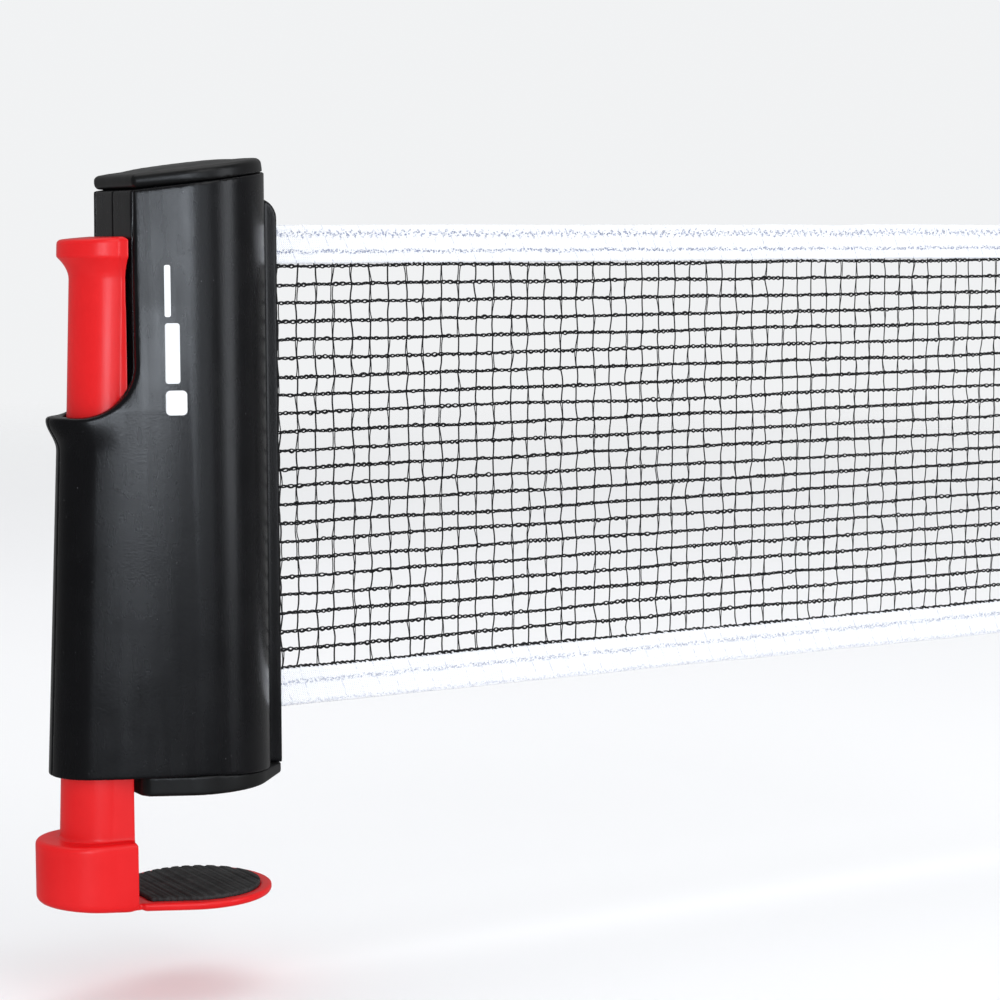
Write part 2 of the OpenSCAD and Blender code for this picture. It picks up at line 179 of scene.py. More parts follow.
def make_mesh(name, points, faces):
    """points in metres and faces as rows of 3 or 4 point numbers."""
    faces = np.asarray(faces, np.int32)
    me = bpy.data.meshes.new(name)
    me.vertices.add(len(points))
    me.vertices.foreach_set("co", np.asarray(points, np.float32).ravel())
    me.loops.add(faces.size)
    me.loops.foreach_set("vertex_index", faces.ravel())
    me.polygons.add(len(faces))
    me.polygons.foreach_set("loop_start", np.arange(0, faces.size, faces.shape[1], dtype=np.int32))
    me.update(calc_edges=True)
    me.validate()
    me.polygons.foreach_set("use_smooth", np.full(len(faces), True))
    obj = bpy.data.objects.new(name, me)
    bpy.context.scene.collection.objects.link(obj)
    return obj


def moulded(name, field, xs, ys, zs, keep):
    """The surface where field(x, y, z) is 0, as a smooth mesh with keep of its triangles left."""
    x, y, z = np.meshgrid(xs, ys, zs, indexing="ij", sparse=True)
    d = np.ascontiguousarray(np.broadcast_to(field(x, y, z), (len(xs), len(ys), len(zs))), np.float32)
    grid = openvdb.FloatGrid()
    grid.background = 3.0
    grid.copyFromArray(np.clip(d, -3, 3))
    points, _, quads = grid.convertToPolygons(isovalue=0.0, adaptivity=0.0)
    axes = [np.interp(points[:, i], np.arange(len(a)), a) for i, a in enumerate((xs, ys, zs))]
    p = np.stack(axes, 1) * MM
    q = quads.astype(np.int64)
    a, b, c = p[q[:, 0]], p[q[:, 1]], p[q[:, 2]]
    if (a * np.cross(b, c)).sum() < 0:
        q = q[:, ::-1]
    obj = make_mesh(name, p, q)
    thin = obj.modifiers.new("thin", "DECIMATE")
    thin.ratio = keep
    return apply_modifiers(obj)


def apply_modifiers(obj):
    bpy.context.view_layer.update()
    done = bpy.data.meshes.new_from_object(obj.evaluated_get(bpy.context.evaluated_depsgraph_get()))
    obj.modifiers.clear()
    obj.data = done
    return obj


def tubes(name, paths, radius, sides=4, turn=0.0):
    """Closed round threads along paths of equal length, each an array of points in mm."""
    p = np.asarray(paths, float)
    n, m = p.shape[:2]
    t = np.gradient(p, axis=1)
    t /= np.linalg.norm(t, axis=2, keepdims=True)
    side = np.cross(t, [0.0, 1.0, 0.0])
    side /= np.linalg.norm(side, axis=2, keepdims=True)
    up = np.cross(side, t)
    angle = turn + 2 * math.pi * np.arange(sides) / sides
    ring = side[:, :, None] * np.cos(angle)[:, None] + up[:, :, None] * np.sin(angle)[:, None]
    radii = np.broadcast_to(np.asarray(radius, float), (n, m))[:, :, None, None]
    points = (p[:, :, None] + ring * radii).reshape(-1, 3)
    i = np.arange(n)[:, None, None] * m * sides
    j = np.arange(m - 1)[None, :, None] * sides
    k = np.arange(sides)[None, None, :]
    nxt = (k + 1) % sides
    quads = np.stack([i + j + k, i + j + nxt, i + j + sides + nxt, i + j + sides + k], -1).reshape(-1, 4)
    centre = len(points)
    ends = np.concatenate([p[:, 0], p[:, -1]])
    fans = []
    for row, first in ((0, True), (m - 1, False)):
        for c in range(n):
            hub = centre + (c if first else n + c)
            for s in range(sides):
                a = c * m * sides + row * sides + s
                b = c * m * sides + row * sides + (s + 1) % sides
                fans.append((hub, b, a) if first else (hub, a, b))
    obj = bpy.data.objects.new(name, bpy.data.meshes.new(name))
    bpy.context.scene.collection.objects.link(obj)
    faces = [tuple(f) for f in quads.tolist()] + fans
    obj.data.from_pydata((np.concatenate([points, ends]) * MM).tolist(), [], faces)
    obj.data.polygons.foreach_set("use_smooth", np.full(len(obj.data.polygons), True))
    obj.data.update()
    return obj


def join(obj, other):
    """Adds the other object's mesh to this one's."""
    work = bmesh.new()
    work.from_mesh(obj.data)
    work.from_mesh(other.data)
    work.to_mesh(obj.data)
    work.free()
    bpy.data.objects.remove(other)
    return obj


# ---------------------------------------------------------------- materials
class Paint:
    """A Principled material with a few short ways to add procedural nodes."""

    def __init__(self, name, color, rough, **plain):
        self.mat = bpy.data.materials.new(name)
        self.mat.use_nodes = True
        self.tree = self.mat.node_tree
        self.shader = self.tree.nodes["Principled BSDF"]
        self.where = self.tree.nodes.new("ShaderNodeTexCoord").outputs["Object"]
        self.set("Base Color", (*color, 1))
        self.set("Roughness", rough)
        for key, value in plain.items():
            self.set(key.replace("_", " "), value)

    def set(self, socket, value):
        s = self.shader.inputs[socket]
        if isinstance(value, bpy.types.NodeSocket):
            self.tree.links.new(value, s)
        else:
            s.default_value = value

    def node(self, kind, inputs=(), **fields):
        n = self.tree.nodes.new(kind)
        for key, value in fields.items():
            setattr(n, key, value)
        for key, value in dict(inputs).items():
            if isinstance(value, bpy.types.NodeSocket):
                self.tree.links.new(value, n.inputs[key])
            else:
                n.inputs[key].default_value = value
        return n

    def stretched(self, x, y, z):
        return self.node("ShaderNodeMapping", {"Vector": self.where, "Scale": (x, y, z)}).outputs[0]

    def noise(self, size, detail=2.0, vector=None):
        """Noise whose features are about size millimetres across."""
        inputs = {"Vector": vector or self.where, "Scale": 1 / (size * MM), "Detail": detail}
        return self.node("ShaderNodeTexNoise", inputs).outputs["Fac"]

    def cells(self, size, vector=None):
        """Distance from the middle of the nearest of many cells, about size millimetres across."""
        inputs = {"Vector": vector or self.where, "Scale": 1 / (size * MM)}
        return self.node("ShaderNodeTexVoronoi", inputs).outputs["Distance"]

    def span(self, value, low, high, out_low=0.0, out_high=1.0):
        """The value with the range low to high stretched over out_low to out_high."""
        inputs = {"Value": value, "From Min": low, "From Max": high, "To Min": out_low, "To Max": out_high}
        return self.node("ShaderNodeMapRange", inputs).outputs["Result"]

    def math(self, op, a, b=0.0):
        n = self.node("ShaderNodeMath", operation=op)
        for i, v in enumerate((a, b)):
            if isinstance(v, bpy.types.NodeSocket):
                self.tree.links.new(v, n.inputs[i])
            else:
                n.inputs[i].default_value = v
        return n.outputs[0]

    def mix(self, share, a, b):
        n = self.node("ShaderNodeMix", {"Factor": share}, data_type="RGBA")
        for i, v in ((6, a), (7, b)):
            if isinstance(v, bpy.types.NodeSocket):
                self.tree.links.new(v, n.inputs[i])
            else:
                n.inputs[i].default_value = (*v, 1)
        return n.outputs[2]

    def bump(self, height, depth, under=None):
        """A bump depth millimetres deep, on top of another bump if one is given."""
        inputs = {"Height": height, "Distance": depth * MM, "Strength": 1.0}
        if under is not None:
            inputs["Normal"] = under
        return self.node("ShaderNodeBump", inputs).outputs["Normal"]

    def axis(self, i):
        return self.node("ShaderNodeSeparateXYZ", {"Vector": self.where}).outputs[i]


def moulded_plastic(name, color, rough, grain=0.45, depth=0.012, dust=0.0, streak=0.0, mottle=0.12):
    """Injection-moulded plastic: fine grain, faint flow marks, rubbed patches and a little dust."""
    p = Paint(name, color, rough, Specular_IOR_Level=0.36)
    fine = p.noise(grain, 2.0)
    broad = p.noise(14.0, 3.0)
    flow = p.noise(3.0, 3.0, p.stretched(1.0, 1.0, 0.06))
    dark = tuple(c * (1 - mottle) for c in color)
    light = tuple(min(1, c * (1 + mottle) + 0.0008) for c in color)
    tone = p.mix(p.span(broad, 0.3, 0.7), dark, light)
    if dust:
        specks = p.math("LESS_THAN", p.cells(2.6), 0.055)
        gate = p.span(p.noise(9.0, 1.0), 0.45, 0.7, 0.0, dust)
        tone = p.mix(p.math("MULTIPLY", specks, gate), tone, (0.2, 0.2, 0.21))
    p.set("Base Color", tone)
    spread = p.span(p.math("ADD", broad, flow), 0.6, 1.4, rough - 0.05, rough + 0.06)
    p.set("Roughness", spread)
    normal = p.bump(fine, depth)
    if streak:
        normal = p.bump(flow, streak, under=normal)
    p.set("Normal", normal)
    return p.mat


def rubber(name, color):
    """Matt ribbed rubber with a fine grain and worn, paler patches."""
    p = Paint(name, color, 0.8)
    ribs = p.math("SINE", p.math("MULTIPLY", p.axis(0), 2 * math.pi / (1.6 * MM)))
    normal = p.bump(ribs, 0.12)
    p.set("Normal", p.bump(p.noise(0.35, 3.0), 0.03, under=normal))
    p.set("Base Color", p.mix(p.span(p.noise(5.0, 4.0), 0.35, 0.7), color, tuple(c * 1.9 for c in color)))
    p.set("Roughness", p.span(p.noise(2.0), 0.3, 0.7, 0.68, 0.9))
    return p.mat


def steel(name, color, rough):
    """Zinc-plated steel with drawn lines and small dull spots."""
    p = Paint(name, color, rough, Metallic=1.0)
    lines = p.noise(0.3, 4.0, p.stretched(1.0, 1.0, 0.05))
    spots = p.noise(1.6, 3.0)
    p.set("Base Color", p.mix(p.span(spots, 0.35, 0.65), tuple(c * 0.8 for c in color), color))
    p.set("Roughness", p.span(p.math("ADD", lines, spots), 0.7, 1.3, rough - 0.06, rough + 0.14))
    p.set("Normal", p.bump(lines, 0.01))
    return p.mat


def cord_fabric(name):
    """Black knitted cord: fibres along the thread, a soft sheen and a few paler fibres."""
    p = Paint(name, (0.004, 0.004, 0.005), 0.75, Sheen_Weight=0.04, Sheen_Roughness=0.4)
    fibre = p.noise(0.12, 3.0, p.stretched(0.35, 1.0, 1.0))
    p.set("Base Color", p.mix(p.span(fibre, 0.45, 0.8), (0.003, 0.003, 0.004), (0.012, 0.012, 0.015)))
    p.set("Roughness", p.span(fibre, 0.3, 0.7, 0.6, 0.85))
    p.set("Normal", p.bump(fibre, 0.05))
    return p.mat


def tape_fabric(name, middle_z, rows):
    """White knitted tape: diagonal stitches, with rows of needle holes painted blue-grey, the shade that
    falls in them. A row is its height from the middle, half its width, how dark its painted shade is and
    how far it zigzags."""
    p = Paint(name, (0.86, 0.87, 0.9), 0.8, Sheen_Weight=0.3, Sheen_Roughness=0.5)
    x, z = p.axis(0), p.axis(2)
    slant = p.math("ADD", p.math("MULTIPLY", x, 1 / (0.62 * MM)), p.math("MULTIPLY", z, 1 / (1.3 * MM)))
    stitch = p.math("SINE", p.math("MULTIPLY", slant, 2 * math.pi))
    course = p.math("SINE", p.math("MULTIPLY", z, 2 * math.pi / (0.9 * MM)))
    knit = p.math("MULTIPLY", stitch, course)
    fibre = p.noise(0.18, 3.0)
    tooth = p.math("FRACT", p.math("MULTIPLY", x, 1 / (2.3 * MM)))
    saw = p.math("ABSOLUTE", p.math("SUBTRACT", tooth, 0.5))
    shade = None
    for offset, half, amount, zigzag in rows:
        wander = p.span(p.noise(5.0, 2.0), 0.3, 0.7, -0.3 * MM, 0.3 * MM)
        level = p.math("ADD", p.math("ADD", z, wander), p.math("MULTIPLY", saw, zigzag * MM))
        off = p.math("ABSOLUTE", p.math("SUBTRACT", level, (middle_z + offset + 0.25 * zigzag) * MM))
        band = p.span(off, 0.3 * half * MM, half * MM, amount, 0.0)
        shade = band if shade is None else p.math("MAXIMUM", shade, band)
    needle = p.span(p.cells(0.62, p.stretched(1.0, 0.2, 1.3)), 0.28, 0.6, 1.0, 0.0)
    holes = p.math("MULTIPLY", shade, needle)
    slope = p.math("ADD", p.math("MULTIPLY", x, 1 / (5.65 * MM)), p.math("MULTIPLY", z, 1 / (16.0 * MM)))
    thread = p.math("ABSOLUTE", p.math("SUBTRACT", p.math("FRACT", slope), 0.5))
    broken = p.span(p.noise(0.8, 2.0), 0.42, 0.6)
    line = p.math("MULTIPLY", p.span(thread, 0.02, 0.05, 0.5, 0.0), broken)
    faint = p.math("MULTIPLY", line, p.span(stitch, -0.6, 0.6))
    # painted shade in the needle holes, joined with the faint slanted thread lines of the knit
    hole_shade_and_lines = p.math("MAXIMUM", holes, faint)
    white = p.mix(p.span(p.noise(8.0, 2.0), 0.3, 0.7), (0.86, 0.87, 0.9), (0.9, 0.905, 0.92))
    # the needle holes get a painted blue-grey shade; the slanted lines are the tape's own thread pattern
    p.set("Base Color", p.mix(hole_shade_and_lines, white, (0.22, 0.26, 0.42)))
    normal = p.bump(knit, 0.1)
    normal = p.bump(p.math("SUBTRACT", 1.0, holes), 0.18, under=normal)
    p.set("Normal", p.bump(fibre, 0.05, under=normal))
    p.set("Roughness", p.span(fibre, 0.3, 0.7, 0.72, 0.9))
    return p.mat


# rows of needle holes: height from the middle, half width, darkness of their painted shade, zigzag
TOP_TAPE_ROWS = [(2.9, 1.0, 0.95, 2.4), (-1.9, 0.7, 1.0, 0.6)]
LOW_TAPE_ROWS = [(1.2, 0.9, 0.7, 0.0), (-4.6, 0.8, 0.4, 1.2)]
BLACK, CAP_BLACK, BASE_BLACK = (0.003, 0.003, 0.0037), (0.004, 0.004, 0.0042), (0.005, 0.005, 0.005)
RED, ACETAL, GREY = (0.68, 0.004, 0.006), (0.74, 0.71, 0.62), (0.27, 0.28, 0.29)
M = {
    "black_abs": moulded_plastic("black_abs", BLACK, 0.26, 0.5, 0.022, dust=0.3, streak=0.01),
    "cap_abs": moulded_plastic("cap_abs", CAP_BLACK, 0.36, 0.8, 0.006, dust=0.3, streak=0.02),
    "base_abs": moulded_plastic("base_abs", BASE_BLACK, 0.38, 0.5, 0.008, dust=0.3),
    "red_abs": moulded_plastic("red_abs", RED, 0.33, 0.9, 0.004, streak=0.008, mottle=0.04),
    "black_rubber": rubber("black_rubber", (0.018, 0.018, 0.018)),
    "steel": steel("steel", (0.6, 0.6, 0.62), 0.3),
    "natural_acetal": moulded_plastic("natural_acetal", ACETAL, 0.45, 0.9, 0.006, mottle=0.05),
    "grey_tube": moulded_plastic("grey_tube", GREY, 0.5, 0.6, 0.006, streak=0.05),
    "net_black": cord_fabric("net_black"),
    "tape_white": tape_fabric("tape_white", NET_TOP - TAPE_H / 2, TOP_TAPE_ROWS),
    "tape_white_low": tape_fabric("tape_white_low", NET_BOTTOM + TAPE_H / 2, LOW_TAPE_ROWS),
    "print_white": moulded_plastic("print_white", (0.8, 0.81, 0.82), 0.5, 0.3, 0.004, mottle=0.06),
}


def dress(obj, material):
    """Gives a piece its material."""
    obj.data.materials.clear()
    obj.data.materials.append(M[material])
    return obj


# ---------------------------------------------------------------- housing
def rim_flare(z):
    """How far the holster's nose stands out as it nears the rim."""
    t = np.clip((z - (RIM_Z - FLARE_H)) / (FLARE_H - 1.2), 0, 1)
    return RIM_FLARE * t**2.2 * (3 - 2 * t)


def sweep(x, z):
    """What is cut away above the holster's mouth, negative inside the cut."""
    back = SPINE_IN - BODY_R
    cx, cz = back - SWEEP_R, RIM_Z + SWEEP_R
    arc = np.hypot(x - cx, z - cz) - SWEEP_R
    level = RIM_Z - z + 0 * x
    return np.where(z > cz, x - back, np.where(x < cx, level, arc))


def channel(x, y, z):
    """The space in the holster that the slider runs in."""
    return nose_post(x, y, nose_x(z) + HOLSTER_WALL, NOSE_R - HOLSTER_WALL, -BODY_R, CHANNEL_HALF)


def with_bosses(body, x, y, z, above, side):
    """Adds the four screw bosses, open for the screws on the rear half and blind on the front one."""
    for bx in (-BOSS_X, BOSS_X):
        for bz in (BOSS_LOW_Z, BOSS_HIGH_Z):
            off = np.hypot(x - bx, z - bz)
            boss = np.maximum(np.maximum(off - BOSS_R, np.hypot(x, y) - BODY_R + 0.5), above + 0.3)
            body = np.minimum(body, boss)
            hole = np.maximum(off - (1.5 if side > 0 else 1.25), np.abs(y) - (30 if side > 0 else 9))
            seat = np.maximum(off - SEAT_R, 12.2 - y)
            body = np.maximum(body, -np.minimum(hole, seat))
    return body


def shell(side):
    """One half of the housing: side is -1 for the front one and 1 for the rear one."""

    def field(x, y, z):
        _, above = slope_frame(x, z)
        tube = tear(x, y)
        holster = faired(x, y, nose_x(z), rim_flare(z))
        share = 1 - np.clip((z - RIM_Z - 2) / (SHELL_TOP - 4 - RIM_Z), 0, 1)
        body = both(tube + share * np.minimum(0, holster - tube), above, 0.45)
        body = less(body, sweep(x, z), 0.8)
        body = both(body, bottom_z(x) - z, 0.4)
        body = less(body, np.maximum(channel(x, y, z), x + BODY_R - SPINE_IN), 0.35)
        groove = box2(x, np.abs(y), -BODY_R - 2, -BODY_R + SPINE_IN + GROOVE_DEPTH, GROOVE_IN, GROOVE_OUT)
        body = less(body, groove, 0.15)
        lips = both(x - MOUTH_X, z - LIP_TOP, LIP_CORNER + 1)
        lips = np.maximum(np.maximum(lips, bottom_z(x) - z), 15 - x)
        lips = both(lips, np.abs(y) - LIP_HALF, 0.9)
        body = either(body, lips, 1.6)
        body = less(body, tear(x, y, WALL))
        body = with_bosses(body, x, y, z, above, side)
        slot = np.maximum(box2(y, z, -SLOT_HALF, SLOT_HALF, NET_BOTTOM - 2, NET_TOP + 2, 0.8), 15 - x)
        body = less(body, slot, 0.35)
        for cy in (-CHEEK_Y, CHEEK_Y):
            cheek = box2(x, z, SPRING_X - 2.2, -BODY_R + 1, ANCHOR_Z - 4, ANCHOR_Z + 4, 1.5)
            body = np.minimum(body, np.maximum(cheek, np.abs(y - cy) - 0.8))
        return both(body, -side * y + 0.03, 0.3)

    return field


def make_shells():
    xs = steps((-46, 28, CELL))
    fine = CELL * 0.9
    zs = steps((1.8, 9, fine), (9, 78, 2.4), (78, 119, fine), (119, 147, 1.8), (147, 168, fine))
    for name, side in (("shell_front", -1), ("shell_rear", 1)):
        ys = steps((-1.2, 23, CELL)) if side > 0 else -steps((-1.2, 23, CELL))[::-1]
        obj = moulded(name + "_shell", shell(side), xs, ys, zs, 0.6)
        dress(obj, "black_abs")
        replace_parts(obj, name)
        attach(obj, "housing")


def cap_field(x, y, z):
    along, above = slope_frame(x, z)
    under = 0.35 + 1.3 * ease((6 - along) / 27)
    crown = CAP_CROWN * ease(-tear(along, y) / CROWN_RUN)
    lid = both(tear(along, y, 0.25, 0.9), above - CAP_H - crown, 1.6)
    lid = both(lid, CAP_GAP - above, under)
    dish = both(tear(along, y, 4.0, 2.0), CAP_H + crown - 0.25 - above)
    lid = less(lid, dish, 0.3)
    neck = both(both(tear(along, y, WALL + 0.15), above - 2), -3 - above)
    neck = less(neck, both(tear(along, y, WALL + 1.75), above + 0.3))
    hub = both(both(np.hypot(x, y) - 5.5, HUB_BOTTOM - z, 0.3), above - 2)
    body = np.minimum(np.minimum(lid, neck), hub)
    return less(body, np.maximum(np.hypot(x, y) - 3.5, z - HUB_BOTTOM - 4))


def base_plan(x, y, inset):
    """Outline of the base: the tube's, drawn out to a straight-sided tongue under the mouth."""
    r, tip_x, tip_y = BODY_R - inset, MOUTH_X - inset, LIP_HALF - inset
    touch = math.acos(r / math.hypot(tip_x, tip_y)) + math.atan2(tip_y, tip_x)
    wedge = both(x * math.cos(touch) + np.abs(y) * math.sin(touch) - r, x - tip_x, 1.0)
    wedge = np.maximum(wedge, r * math.cos(touch) - x)
    return np.minimum(tear(x, y, inset, 2.2), wedge)


def base_field(x, y, z):
    foot = both(both(base_plan(x, y, 0.3), z - bottom_z(x) + 0.12, 0.2), BASE_BOTTOM - z, 0.7)
    step = both(tear(x, y, 1.0), np.abs(z - SHELL_BOTTOM) - 0.5)
    plug = both(tear(x, y, WALL + 0.15), np.abs(z - SHELL_BOTTOM - 1.5) - 1.5)
    hub = both(np.hypot(x, y) - 4.5, np.abs(z - BASE_HUB_TOP + 4) - 4, 0.3)
    body = np.minimum(np.minimum(foot, step), np.minimum(plug, hub))
    body = less(body, both(tear(x, y, FOOT_INSET - 0.1), z - FOOT_H))
    body = less(body, np.maximum(np.hypot(x, y) - 2.0, SPINDLE_LOW - z))
    for sy in (-BASE_SCREW_Y, BASE_SCREW_Y):
        off = np.hypot(x, y - sy)
        body = less(body, np.minimum(off - 1.5, np.maximum(off - SEAT_R, z - 3.5)))
    return body


def make_caps():
    xs = steps((-23, 27.5, CELL))
    ys = steps((-22.6, 22.6, CELL))
    cap = moulded("top_cap_lid", cap_field, xs, ys, steps((153.5, 170.5, CELL)), 0.6)
    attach(dress(cap, "cap_abs"), "housing")
    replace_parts(cap, "top_cap")
    base = moulded("base_cap_foot", base_field, xs, ys, steps((-0.4, 13, CELL * 0.8)), 0.6)
    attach(dress(base, "base_abs"), "housing")
    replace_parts(base, "base_cap")


# ---------------------------------------------------------------- clamp slider
def lip_flare(z):
    """How far the finger lip stands out at the slider's top."""
    low = SLIDER_TOP - LIP_BAND - LIP_CURVE
    t = np.clip((z - low) / LIP_CURVE, 0, 1)
    return LIP_FLARE * t**2


def slider_field(x, y, z):
    flare = lip_flare(z)
    half = COLUMN_HALF + 0.62 * flare
    column = nose_post(x, y, column_x(z) - flare, COLUMN_R + flare / 2, SLIDER_BACK, half)
    column = both(column, x - SLIDER_BACK, 0.25)
    top = (z - SLIDER_TOP - (x + BODY_R + 16) * math.tan(LIP_SLOPE)) * math.cos(LIP_SLOPE)
    column = both(both(column, top, 1.1), JAW_BOTTOM + 3 - z)
    block = nose_post(x, y, BLOCK_TIP, BLOCK_R, SLIDER_BACK, BLOCK_R)
    block = both(block, x - SLIDER_BACK, 0.35)
    rise = 0.1 * np.maximum(0, -24 - x)
    block = both(both(block, z - BLOCK_TOP, 1.4), JAW_BOTTOM + rise - z, 2.2)
    jaw = both(both(tear(x, y), z - JAW_TOP, 0.5), JAW_BOTTOM - z, 1.2)
    link = box2(x, y, -26, -19, -12.9, 12.9)
    link = np.maximum(link, np.maximum(z - JAW_TOP + 0.1, JAW_BOTTOM + 0.4 - z))
    body = either(np.minimum(column, jaw), block, 0.7)
    body = np.minimum(body, link)
    hollow = nose_post(x, y, column_x(z) + 2, COLUMN_R - 2, SLIDER_BACK, COLUMN_HALF - 2)
    hollow = np.maximum(hollow, np.maximum(-7 - z, z - SLIDER_TOP + LIP_BAND))
    body = less(body, hollow, 0.3)
    return less(body, both(tear(x, y, PAD_INSET), JAW_TOP - 0.4 - z))


def rib_gaps(x):
    """Negative in the gaps between a rubber pad's ribs."""
    return np.abs((x + 100) % RIB_PITCH - RIB_PITCH / 2) - 0.45


def pad_field(x, y, z):
    pad = both(tear(x, y, PAD_INSET + 0.1), np.abs(z - JAW_TOP + 0.4 - 0.7) - 0.7, 0.3)
    ribs = np.maximum(rib_gaps(x), JAW_TOP + 0.7 - z)
    return less(pad, ribs, 0.15)


def foot_field(x, y, z):
    pad = both(tear(x, y, FOOT_INSET), np.abs(z - FOOT_H / 2) - FOOT_H / 2, 0.3)
    ribs = np.maximum(rib_gaps(x), z - 0.5)
    ribs = np.maximum(ribs, tear(x, y, FOOT_INSET + 1.6))
    return less(pad, ribs, 0.15)


def make_clamp():
    ys = steps((-22.6, 22.6, CELL))
    fine = CELL * 0.9
    zs = steps((-31.6, -5, fine), (-5, 131, 3.0), (131, 149.5, fine))
    slider = moulded("clamp_slider_moulding", slider_field, steps((-46, 22.8, CELL)), ys, zs, 0.7)
    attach(dress(slider, "red_abs"), "clamp")
    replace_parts(slider, "clamp_slider")
    small = steps((-20, 20, CELL))
    pad = moulded("jaw_pad_rubber", pad_field, small, small, steps((-29.4, -26.2, 0.28)), 0.5)
    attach(dress(pad, "black_rubber"), "clamp")
    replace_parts(pad, "jaw_pad")
    foot = moulded("foot_pad_rubber", foot_field, small, small, steps((-0.8, 2.3, 0.28)), 0.5)
    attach(dress(foot, "black_rubber"), "housing")
    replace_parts(foot, "foot_pad")


# ---------------------------------------------------------------- springs
def helix(turns, per_turn, mean, x, low, high):
    """Points on a coil of mean radius mean that climbs from low to high on an upright line at x."""
    t = np.linspace(0, 1, turns * per_turn + 1)
    turn = 2 * np.pi * turns * t
    return np.stack([x + mean * np.cos(turn), mean * np.sin(turn), low + (high - low) * t], 1)


def make_clamp_spring():
    coil = helix(80, 12, 2.35, SPRING_X, SLIDER_PIN_Z + 3.4, ANCHOR_Z - 3.4)
    a = np.linspace(-0.5 * np.pi, 1.25 * np.pi, 22)
    eye = 1.65
    upper = np.stack([SPRING_X + eye * np.cos(a), 0 * a, ANCHOR_Z + eye * np.sin(a)], 1)
    lower = np.stack([SPRING_X - eye * np.cos(a), 0 * a, SLIDER_PIN_Z - eye * np.sin(a)], 1)
    spring = tubes("clamp_spring_coil", [np.concatenate([lower[::-1], coil, upper])], 0.42, 6)
    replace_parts(dress(spring, "steel"), "clamp_spring")
    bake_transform(spring)


def make_roller_spring():
    wound = tubes("roller_spring_coil", [helix(58, 14, 3.8, 0, 21, 136)], 0.5, 6)
    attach(dress(wound, "steel"), "housing")
    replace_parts(wound, "roller_spring")


# ---------------------------------------------------------------- net
ROWS, ROW_GAP, COLUMN_GAP = 23, 5.0, 5.65
LOOP, OPEN_EYE, SHUT_EYE = 1.88, 0.47, 0.29
STRAND_R, BINDER_R, THREAD_R, OPEN_PAIR, SHUT_PAIR = 0.235, 0.2, 0.165, 0.42, 0.13


def drift(rng, count, spread, smooth):
    """A slow random wander, the same on every run."""
    w = rng.normal(0, 1, count + 4 * smooth)
    kernel = np.hanning(2 * smooth + 1)
    w = np.convolve(w, kernel / np.sqrt((kernel**2).sum()), "same")
    return spread * w[2 * smooth : 2 * smooth + count]


def shrinks(piece):
    """Attaches the piece to the housing and gives it a mesh of its own."""
    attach(piece, "housing")
    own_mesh(piece)


def chain_rows(rng, x, top, rows):
    """Strands of the chain-stitched rows: two that cross at every loop, and one that binds them."""
    strands, thickness = [], []
    m = len(x)
    for r in rows:
        wander = drift(rng, m, 0.14, 90) + drift(rng, m, 0.06, 14)
        pace = 1 + 0.15 * drift(rng, m, 1.0, 30)
        turns = rng.uniform() + np.cumsum(pace * (x[1] - x[0]) / LOOP)
        loops = int(turns[-1]) + 3
        size = np.where(rng.uniform(size=loops) < 0.4, OPEN_EYE, SHUT_EYE) + 0.05 * rng.normal(size=loops)
        lift = 0.07 * rng.normal(size=loops)
        k = turns.astype(int)
        bow = np.sin(np.pi * (turns - k))
        side = np.where(k % 2 == 0, 1.0, -1.0)
        z0 = top - r * ROW_GAP + wander
        for sign in (1, -1):
            z = z0 + sign * side * size[k] * bow + lift[k] * bow
            y = sign * 0.17 * np.cos(np.pi * turns)
            strands.append(np.stack([x, y, z], 1))
            thickness.append(STRAND_R + 0.03 * np.cos(2 * np.pi * turns))
        bind = z0 + 0.3 * np.cos(2 * np.pi * turns) * np.where(rng.uniform() < 0.5, 1, -1)
        strands.append(np.stack([x, 0.2 * np.sin(np.pi * turns), bind], 1))
        thickness.append(BINDER_R + 0 * x)
    return strands, thickness


def net_threads(rng, knots, top, cells, end):
    """Upright threads of the net in the given rows of cells: two to a cell, open or lying together."""
    threads = []
    for c in range(len(knots)):
        for r in cells:
            za, zb = top - r * ROW_GAP + 0.1, top - (r + 1) * ROW_GAP - 0.1
            za, zb = min(za, top + 3), max(zb, top - (ROWS - 1) * ROW_GAP - 3)
            xa = knots[c][max(r, 0)] + 0.12 * rng.normal()
            xb = knots[c][min(r + 1, ROWS - 1)] + 0.12 * rng.normal()
            kind = rng.uniform()
            wide_a = OPEN_PAIR if kind < 0.22 else SHUT_PAIR
            wide_b = OPEN_PAIR if 0.16 < kind < 0.4 else SHUT_PAIR
            bend = 0.15 * rng.normal()
            for sign in (1, -1):
                path = []
                for t in (0.0, 0.25, 0.5, 0.75, 1.0):
                    gap = wide_a * (1 - t) ** 2 + wide_b * t**2 + 0.07 * (1 - (2 * t - 1) ** 2)
                    across = xa + (xb - xa) * t + bend * math.sin(math.pi * t) + sign * gap
                    path.append([min(across, end), sign * 0.1, za + (zb - za) * t])
                threads.append(path)
    return threads


def make_net():
    """The net, as three bands of rows and threads, each a sheet of its own."""
    rng = np.random.default_rng(7)
    top = NET_TOP - TAPE_H - 0.4
    end = NET_FAR - 0.5
    x = np.arange(NET_START, end, 0.36)
    count = int((end - NET_START - 3) / COLUMN_GAP)
    knots = []
    for c in range(count):
        lean = 0.12 * rng.normal() * np.arange(ROWS) / 4
        line = NET_START + 3 + c * COLUMN_GAP + lean + 0.26 * rng.normal(size=ROWS)
        knots.append(np.clip(line, NET_START + 0.5, end - 0.5))
    bands = (("net_upper", range(8)), ("net_middle", range(8, 16)), ("net_lower", range(16, ROWS)))
    for name, rows in bands:
        strands, thickness = chain_rows(rng, x, top, rows)
        cord = tubes(name + "_rows", strands, np.array(thickness), 4, 0.4)
        cells = range(-1, 8) if rows[0] == 0 else rows
        thread = tubes(name, net_threads(rng, knots, top, cells, end), THREAD_R, 4)
        band = join(thread, cord)
        dress(band, "net_black")
        if rows[0] == 0:
            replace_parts(band, "net_mesh")
        shrinks(band)


